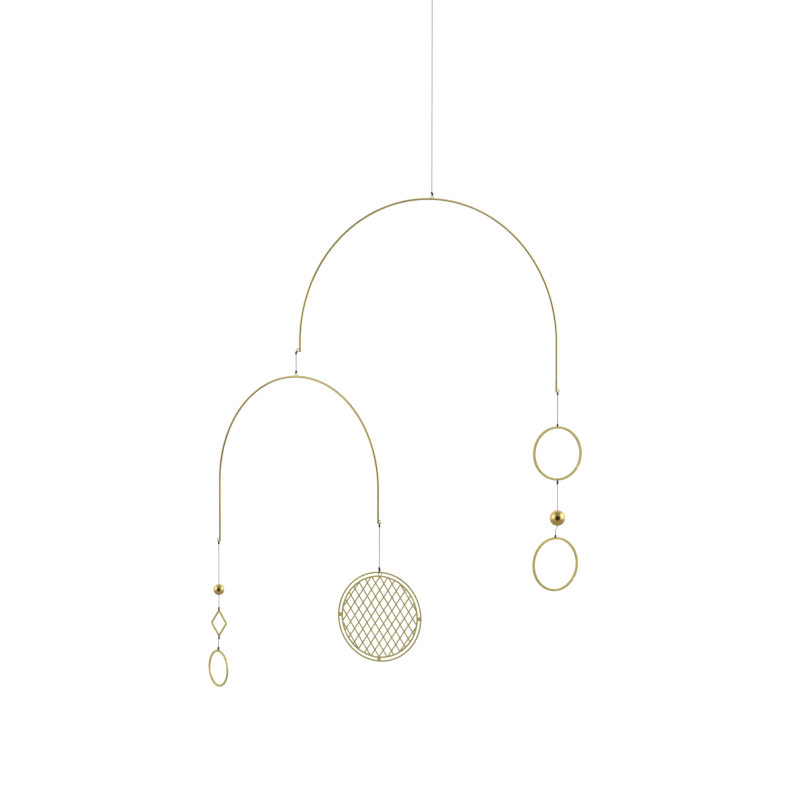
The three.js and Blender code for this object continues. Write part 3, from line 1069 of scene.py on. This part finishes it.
def make_softbox(name, centre, towards, size, radiance, colour):
    """A rectangle of light that way from the mobile, as bright as a surface of that radiance."""
    data = bpy.data.lights.new(name, "AREA")
    data.shape = "RECTANGLE"
    data.size, data.size_y = size
    data.energy = radiance * math.pi * size[0] * size[1]
    data.color = colour
    light = bpy.data.objects.new(name, data)
    bpy.context.scene.collection.objects.link(light)
    light.location = centre + SOFTBOX_DISTANCE * towards
    light.rotation_euler = towards.to_track_quat("Z", "Y").to_euler()
    light.visible_camera = False


def make_surroundings():
    """A white studio: bright behind and at the sides, dimmer in front and below, dark round the camera.

    The camera itself sees plain white behind the mobile."""
    world = bpy.data.worlds.new("studio")
    world.use_nodes = True
    bpy.context.scene.world = world
    tree = world.node_tree
    nodes, links = tree.nodes, tree.links
    out = nodes["World Output"]
    way = nodes.new("ShaderNodeTexCoord").outputs["Generated"]

    def facing(vector):
        node = nodes.new("ShaderNodeVectorMath")
        node.operation = "DOT_PRODUCT"
        links.new(way, node.inputs[0])
        node.inputs[1].default_value = vector
        return node.outputs["Value"]

    def eased(value, low, high):
        node = nodes.new("ShaderNodeMapRange")
        node.interpolation_type = "SMOOTHSTEP"
        links.new(value, node.inputs["Value"])
        node.inputs["From Min"].default_value = low
        node.inputs["From Max"].default_value = high
        return node.outputs["Result"]

    def blend(share, first, second):
        node = nodes.new("ShaderNodeMix")
        node.data_type = "RGBA"
        links.new(share, node.inputs[0])
        for value, socket in ((first, node.inputs[6]), (second, node.inputs[7])):
            if isinstance(value, bpy.types.NodeSocket):
                links.new(value, socket)
            else:
                socket.default_value = value
        return node.outputs[2]

    to_camera = direction(0, 0)
    aside = nodes.new("ShaderNodeMath")
    aside.operation = "ABSOLUTE"
    links.new(facing(direction(90, 0)), aside.inputs[0])
    front = blend(eased(aside.outputs[0], 0.35, 0.60), ROOM_FRONT, ROOM_SIDES)
    room = blend(eased(facing(to_camera), -0.5, 0.1), WHITE, front)
    room = blend(eased(facing(-UP), 0.12, 0.5), room, ROOM_BELOW)
    room = blend(eased(facing(to_camera), 0.74, 0.88), room, CAMERA_DARK)
    light = nodes["Background"]
    links.new(room, light.inputs["Color"])
    white = nodes.new("ShaderNodeBackground")
    white.inputs["Color"].default_value = WHITE
    white.inputs["Strength"].default_value = BACKDROP_GLOW
    ray = nodes.new("ShaderNodeLightPath")
    mix = nodes.new("ShaderNodeMixShader")
    links.new(ray.outputs["Is Camera Ray"], mix.inputs["Fac"])
    links.new(light.outputs[0], mix.inputs[1])
    links.new(white.outputs[0], mix.inputs[2])
    links.new(mix.outputs[0], out.inputs["Surface"])


def make_studio(low, high):
    centre = (low + high) / 2
    make_floor(low.z)
    make_surroundings()
    make_softbox("softbox_left", centre, direction(-70, 14), (1.5, 1.7), 1.1, WARM)
    make_softbox("softbox_right", centre, direction(84, 15), (1.9, 1.8), 1.2, NEUTRAL)
    bpy.context.scene.view_settings.view_transform = "Standard"


# --- the mobile -----------------------------------------------------------------------------

make_camera()

wire_brass = satin_brass("satin_brass_wire", WIRE_GRAIN, WIRE_BRASS)
plate_brass = satin_brass("satin_brass_plate", PLATE_GRAIN, PLATE_BRASS)
bead_brass = polished_brass("polished_brass")
thread_black = black_thread("black_thread")

wire_ring = make_hanging_ring(wire_brass)
make_threads(thread_black, wire_ring)

make_arch("upper_arch", upper_arch, "upper_arm", wire_brass)
make_arch("lower_arch", lower_arch, "lower_arm", wire_brass)
make_flat_ring("large_ring_upper", ring_upper, (1, -1), "upper_arm", plate_brass)
make_flat_ring("large_ring_lower", ring_lower, (1,), "upper_arm", plate_brass)
make_flat_ring("small_ring", small_ring, (1,), "lower_arm", plate_brass)
make_diamond(plate_brass)
make_disc(plate_brass)
make_bead("large_bead", "upper_arm", bead_brass)
make_bead("small_bead", "lower_arm", bead_brass)

make_studio(*cad_bounds)
